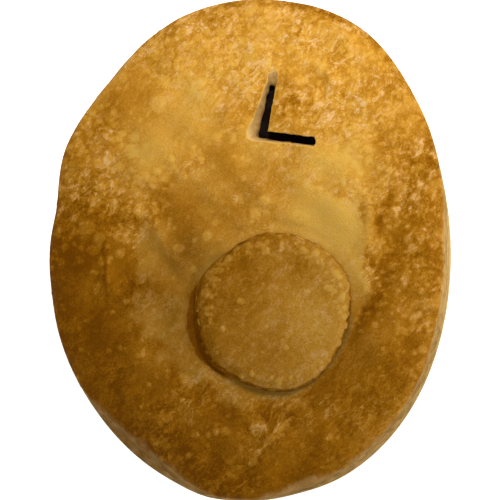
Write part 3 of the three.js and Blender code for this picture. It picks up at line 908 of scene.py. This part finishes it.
def vent_corners(slope):
    """Corners of the vent at one height: slope is 0 at its foot and 1 at the lid's surface."""
    def unit(heading):
        return np.array([np.cos(np.radians(heading)), np.sin(np.radians(heading))])
    long, short = VENT_LONG, VENT_SHORT
    up, across = unit(long["heading"]), unit(short["heading"])
    to_short, to_long = unit(long["heading"] - 90), unit(short["heading"] + 90)
    outer = VENT_CORNER - to_short * long["slope"] * slope - to_long * short["slope"] * slope
    cut = lerp(VENT_ROUND_FOOT, VENT_ROUND_SURFACE, slope)
    flap_side = short["width"] + VENT_UNDERCUT * (1 - slope)
    short_end = VENT_CORNER + across * (short["length"] + short["run_out"] * slope)
    long_end = VENT_CORNER + up * (long["length"] + long["run_out"] * slope)
    short_drop = short["end_slope"] * slope
    end_cut = lerp(VENT_END_FOOT, VENT_END_SURFACE, slope)
    end_slope = long["end_slope"] * slope
    return [
        outer + up * cut,
        outer + (up + across) * cut * VENT_ROUND_INSET,
        outer + across * cut,
        short_end - to_long * short_drop - across * VENT_SHORT_CUT,
        short_end - to_long * (short_drop - VENT_SHORT_CUT),
        short_end + to_long * (flap_side - VENT_SHORT_CUT),
        short_end + to_long * flap_side - across * VENT_SHORT_CUT,
        VENT_CORNER + to_short * long["width"] + to_long * flap_side,
        long_end + to_short * long["end_width"] - up * end_cut,
        long_end + to_short * (long["end_width"] - end_cut),
        long_end - to_short * (end_slope - end_cut),
        long_end - to_short * end_slope - up * end_cut,
    ]


def make_vent_cutter(wall):
    """A closed solid of the vent, with sides that are a little ragged."""
    surface = vent_surface()
    rings = []
    for height in np.linspace(-VENT_CUTTER_DEPTH, 1, VENT_LEVELS) * VENT_DEPTH:
        slope = max(height / VENT_DEPTH + 1, 0)
        corners = vent_corners(slope)
        for start, end in zip(corners, corners[1:] + corners[:1]):
            for step in range(VENT_SIDE_STEPS):
                rings.append((*lerp(start, end, step / VENT_SIDE_STEPS), surface + height))
    x, y, z = np.array(rings).T
    ragged_x = noise_sum(y + 0.7 * x, z, (0.3, 1.8, 51), (0.18, 0.8, 53))
    ragged_y = noise_sum(x - 0.7 * y, z, (0.2, 1.8, 52), (0.12, 0.8, 54))
    faces = tube_faces(VENT_LEVELS, len(rings) // VENT_LEVELS)
    return add_piece("vent_cutter", (x + ragged_x, y + ragged_y, z), faces, [wall])


def cut_vent(lid, wall):
    """Cuts the vent through the lid; the new sides take the cutter's material."""
    cutter = make_vent_cutter(wall)
    cut = lid.modifiers.new("vent", "BOOLEAN")
    cut.operation = "DIFFERENCE"
    cut.solver = "MANIFOLD"
    cut.object = cutter
    cut.material_mode = "TRANSFER"
    graph = bpy.context.evaluated_depsgraph_get()
    mesh = bpy.data.meshes.new_from_object(lid.evaluated_get(graph), depsgraph=graph)
    lid.modifiers.clear()
    lid.data = mesh
    bpy.data.objects.remove(cutter)


def round_bubbles(x, y):
    """How readily bubbles lie on the round: most along its rim, at the top and the right."""
    past = past_round(x, y)
    rim = smoothstep(past, -6, -3) * (1 - smoothstep(past, -1.2, -0.7))
    return 0.02 + rim * (0.15 + swell_sum(ROUND_BUBBLES, round_angle(x, y)))


ROUND_BLISTERS, ROUND_CAPS = bump_maps(draw_bumps(ROUND_BUBBLE_KINDS, round_bubbles, seed=8))


def round_outline(angle):
    """How far the round's edge lies outside its circle: swells, waves and scallops."""
    along, still = angle * ROUND_RADIUS, 0 * angle
    waves = swell_sum(ROUND_SWELLS, angle) + 0.25 * noise(along, still, 3.5, 62)
    scallops = np.abs(noise(along, still, 2.6, 63)) - 0.3
    return waves + 0.15 * scallops * (1 + swell_sum(ROUND_SCALLOPS, angle))


def round_top_bake(x, y):
    """How brown the round's top is, from 0 to 1, before its fine mottling."""
    bake = lerp(*ROUND_BAKE, smoothstep(x - ROUND_AT[0] - 0.55 * (y - ROUND_AT[1]), -15, 15))
    bake += noise_sum(x, y, (0.03, 8, 67), (0.02, 3.5, 68)) - 0.04 * crust_bumps(x, y, ROUND_BUMP_SEED)
    bake += patch_sum(ROUND_PATCHES, x, y)
    # Bubble tops are paler: partly their thin layers, partly a painted highlight
    return bake - 0.25 * read_map(ROUND_CAPS, x, y) - 0.3 * read_map(ROUND_BLISTERS, x, y)


def round_wall_bake(angle, level, layers):
    """How brown the round's wall is, with pale layers where it is torn open."""
    spots = noise(angle * ROUND_RADIUS, 4 * level, 2.5, 64)
    torn = smoothstep(spots, 0.05, 0.35) * np.exp(-(((level - 0.6) / 0.2) ** 2))
    # Browner where listed: partly browning, partly painted shade on the wall's sides
    return ROUND_WALL_BAKE + swell_sum(ROUND_WALL_BROWN_AND_SHADE, angle) + 0.15 * layers - 0.7 * torn


def make_round(crust):
    (share, level, angle), faces = shell_points(*ROUND_MESH)
    layers = edge_layers(angle, level, ROUND_RADIUS, ROUND_LAYERS, 61)
    flakes = ROUND_FLAKE * layers * np.sin(PI * level) * (share == 1)
    lean = level * (ROUND_LEAN + swell_sum(ROUND_LEANS, angle))
    radius = share * (ROUND_RADIUS + round_outline(angle) - lean) + flakes
    x, y = ROUND_AT[0] + radius * np.cos(angle), ROUND_AT[1] + radius * np.sin(angle)
    crown = ROUND_CROWN * (1 - share ** ROUND_CROWN_POWER)
    bumps = ROUND_BUMP * crust_bumps(x, y, ROUND_BUMP_SEED)
    rounded = ROUND_RIM_DROP * smoothstep(share, 0.9, 1)
    height = ROUND_EDGE + crown + bumps + read_map(ROUND_BLISTERS, x, y) - rounded
    wall = 1 - smoothstep(level, *ROUND_WALL_TOP)
    bake = lerp(round_top_bake(x, y), round_wall_bake(angle, level, layers), wall)
    # Painted shade darkens the round's top
    return add_piece("round_crust", (x, y, ROUND_FOOT + level * height), faces, [crust],
                     bake=bake, flaky=0.4, sheets=0.35, dull=ROUND_SHADE_DARKNESS * (1 - wall), cut=0, layer=0)


def case_profile():
    """Share and height of the case's section, from below its middle out, up, in and down."""
    round_share = 2 * BASE_ROUND / WIDTH
    turns = np.linspace(-PI / 2, 0, CASE_FOOT_RINGS)
    up = np.linspace(0, 1, CASE_WALL_RINGS)[1:]
    down = np.linspace(0, 1, CASE_INNER_RINGS)
    under = [(s, 0) for s in CASE_UNDER_SHARES]
    corner = [(BASE_SHARE + round_share * (np.cos(t) - 1), BASE_ROUND * (1 + np.sin(t))) for t in turns]
    wall = [(lerp(BASE_SHARE, RIM_SHARE, u), lerp(BASE_ROUND, RIM_HEIGHT, u)) for u in up]
    top = [(lerp(RIM_SHARE, INNER_RIM_SHARE, u), RIM_HEIGHT) for u in CASE_TOP_SHARES]
    inner = [
        (lerp(INNER_RIM_SHARE, INNER_FLOOR_SHARE, d), lerp(RIM_HEIGHT, FLOOR_THICKNESS, d)) for d in down
    ]
    return np.array(under + corner + wall + top + inner)


def make_case(crust):
    profile = case_profile()
    rings = len(profile)
    turn = np.arange(CASE_AROUND) * 2 * PI / CASE_AROUND
    angle = np.tile(turn, rings)
    share, z = (np.repeat(profile[:, i], CASE_AROUND) for i in (0, 1))
    outer_rings = rings - len(CASE_TOP_SHARES) - CASE_INNER_RINGS
    outside = np.repeat(np.arange(rings) < outer_rings, CASE_AROUND) * smoothstep(z, 0, 1.5)
    along = angle * WIDTH / 2
    swaying = WALL_WAVES_AROUND * angle + WALL_SWAY * np.sin(WALL_SWAYS * angle)
    wave = WALL_WAVE * np.sin(PI * z / RIM_HEIGHT) * np.sin(swaying)
    bumps = crust_bumps(along, z, 81)
    crags = wave + CASE_BUMP * bumps + 0.12 * noise(along, 3 * z, 8, 82)
    radius = share * rim_radius(angle) + outside * crags * (1 - smoothstep(z, RIM_HEIGHT - 1, RIM_HEIGHT))
    bake = CASE_BAKE + CASE_RIM_BAKE * smoothstep(z, 16, 23) + CASE_FOOT_BAKE * (1 - smoothstep(z, 0, 7))
    bake += noise_sum(along, z, (0.12, 11, 83), (0.08, 4, 84)) - 0.08 * bumps
    points = (radius * np.cos(angle), radius * np.sin(angle), z)
    return add_piece("case_crust", points, tube_faces(rings, CASE_AROUND), [crust],
                     bake=bake, flaky=0.6, sheets=0.8, dull=0, cut=0, layer=0)


def make_filling(material):
    (share, level, angle), faces = shell_points(*FILLING_MESH)
    radius = rim_radius(angle) * share * lerp(INNER_FLOOR_SHARE - GAP_SHARE, FILLING_SHARE, level)
    x, y = radius * np.cos(angle), radius * np.sin(angle)
    lumps = 0.5 * (1 - np.abs(noise(x, y, 9, 91))) + 0.3 * noise(x, y, 4, 92)
    top = RIM_HEIGHT + lid_under(x, y) - (FILLING_SINK - lumps) * (1 - smoothstep(share, 0.9, 1))
    return add_piece("gravy_filling", (x, y, lerp(FLOOR_THICKNESS + GAP, top, level)), faces, [material])


crust = pastry("baked_pastry")
wall = vent_wall()
lid = make_lid(crust)
cut_vent(lid, wall)
pieces = [
    (lid, "lid", "lid_pastry"),
    (make_round(crust), "pastry_round", "round_pastry"),
    (make_case(crust), "case", "case_pastry"),
    (make_filling(gravy()), "filling", "filling"),
]
for piece, node, slot in pieces:
    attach(piece, "root")
    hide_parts(node)


# Floor, light and camera

FLOOR_GAP, FLOOR_HALF = 0.05, 3000
FLOOR_SHADE, FLOOR_PALE = (0.84, 0.84, 0.83), (0.88, 0.88, 0.87)
FLOOR_GLOW = 0.7
LAMP_COLOUR = (1, 0.97, 0.92)
ROOM_LIGHT = 0.12
FRAME_WIDTH = 125.2
CAMERA_DISTANCE = 800
CAMERA_SENSOR = 36
CAMERA_AZIMUTH, CAMERA_ELEVATION = 30, 84.5
TARGET = Vector((0.2, -0.6, 23.5))


def make_floor():
    """A pale floor that glows a little."""
    x, y = FLOOR_HALF * np.array([(-1, 1, 1, -1), (-1, -1, 1, 1)])
    material, tree, shader = new_material("pale_floor")
    colour = colour_ramp(tree, speckle(tree, 60, 2.0), [(0.3, FLOOR_SHADE), (0.7, FLOOR_PALE)])
    set_surface(tree, shader, colour, roughness=0.8, gloss=0.5)
    shader.inputs["Emission Color"].default_value = (1, 1, 1, 1)
    shader.inputs["Emission Strength"].default_value = FLOOR_GLOW
    floor = add_piece("floor", (x, y, np.full(4, -FLOOR_GAP)), [(0, 1, 2, 3)], [material])


def place_lamp(data, place, aim, power):
    """Puts a lamp of warm white light at a place, facing its aim."""
    data.energy = power
    data.color = LAMP_COLOUR
    lamp = bpy.data.objects.new(data.name, data)
    lamp.location = Vector(place) * MM
    lamp.rotation_euler = (Vector(place) - Vector(aim)).to_track_quat("Z", "Y").to_euler()
    bpy.context.scene.collection.objects.link(lamp)


def add_panel(name, place, size, power):
    """A square soft lamp that faces the pie."""
    data = bpy.data.lights.new(name, "AREA")
    data.size = size * MM
    place_lamp(data, place, TARGET, power)


def add_spot(name, place, aim, half_angle, blend, size, power):
    """A soft-edged spot lamp."""
    data = bpy.data.lights.new(name, "SPOT")
    data.spot_size = 2 * np.radians(half_angle)
    data.spot_blend = blend
    data.shadow_soft_size = size / 2 * MM
    place_lamp(data, place, aim, power)


def set_world(strength):
    world = bpy.data.worlds.new("soft_room")
    world.use_nodes = True
    background = world.node_tree.nodes["Background"]
    background.inputs["Color"].default_value = (1, 1, 1, 1)
    background.inputs["Strength"].default_value = strength
    bpy.context.scene.world = world


def add_camera():
    """A camera almost above the pie, turned so that the pie's length is upright."""
    azimuth, elevation = np.radians(CAMERA_AZIMUTH), np.radians(CAMERA_ELEVATION)
    back = Vector((
        np.sin(azimuth) * np.cos(elevation),
        -np.cos(azimuth) * np.cos(elevation),
        np.sin(elevation),
    ))
    right = Vector((0, 1, 0)).cross(back).normalized()
    up = back.cross(right)
    data = bpy.data.cameras.new("camera")
    data.sensor_width = CAMERA_SENSOR
    data.lens = CAMERA_SENSOR * CAMERA_DISTANCE / FRAME_WIDTH
    camera = bpy.data.objects.new("camera", data)
    turned = Matrix((right, up, back)).transposed().to_4x4()
    camera.matrix_world = Matrix.Translation((TARGET + back * CAMERA_DISTANCE) * MM) @ turned
    bpy.context.scene.collection.objects.link(camera)
    bpy.context.scene.camera = camera


make_floor()
add_panel("key", place=(220, 200, 330), size=130, power=0.72)
add_panel("fill", place=(-160, -160, 484), size=400, power=1.15)
add_panel("side", place=(400, 40, 120), size=160, power=0.84)
add_spot("top_spot", place=(20, 240, 360), aim=(-5, 95, 25), half_angle=15, blend=0.5, size=60, power=4)
set_world(ROOM_LIGHT)
add_camera()
bpy.context.scene.view_settings.view_transform = "Standard"
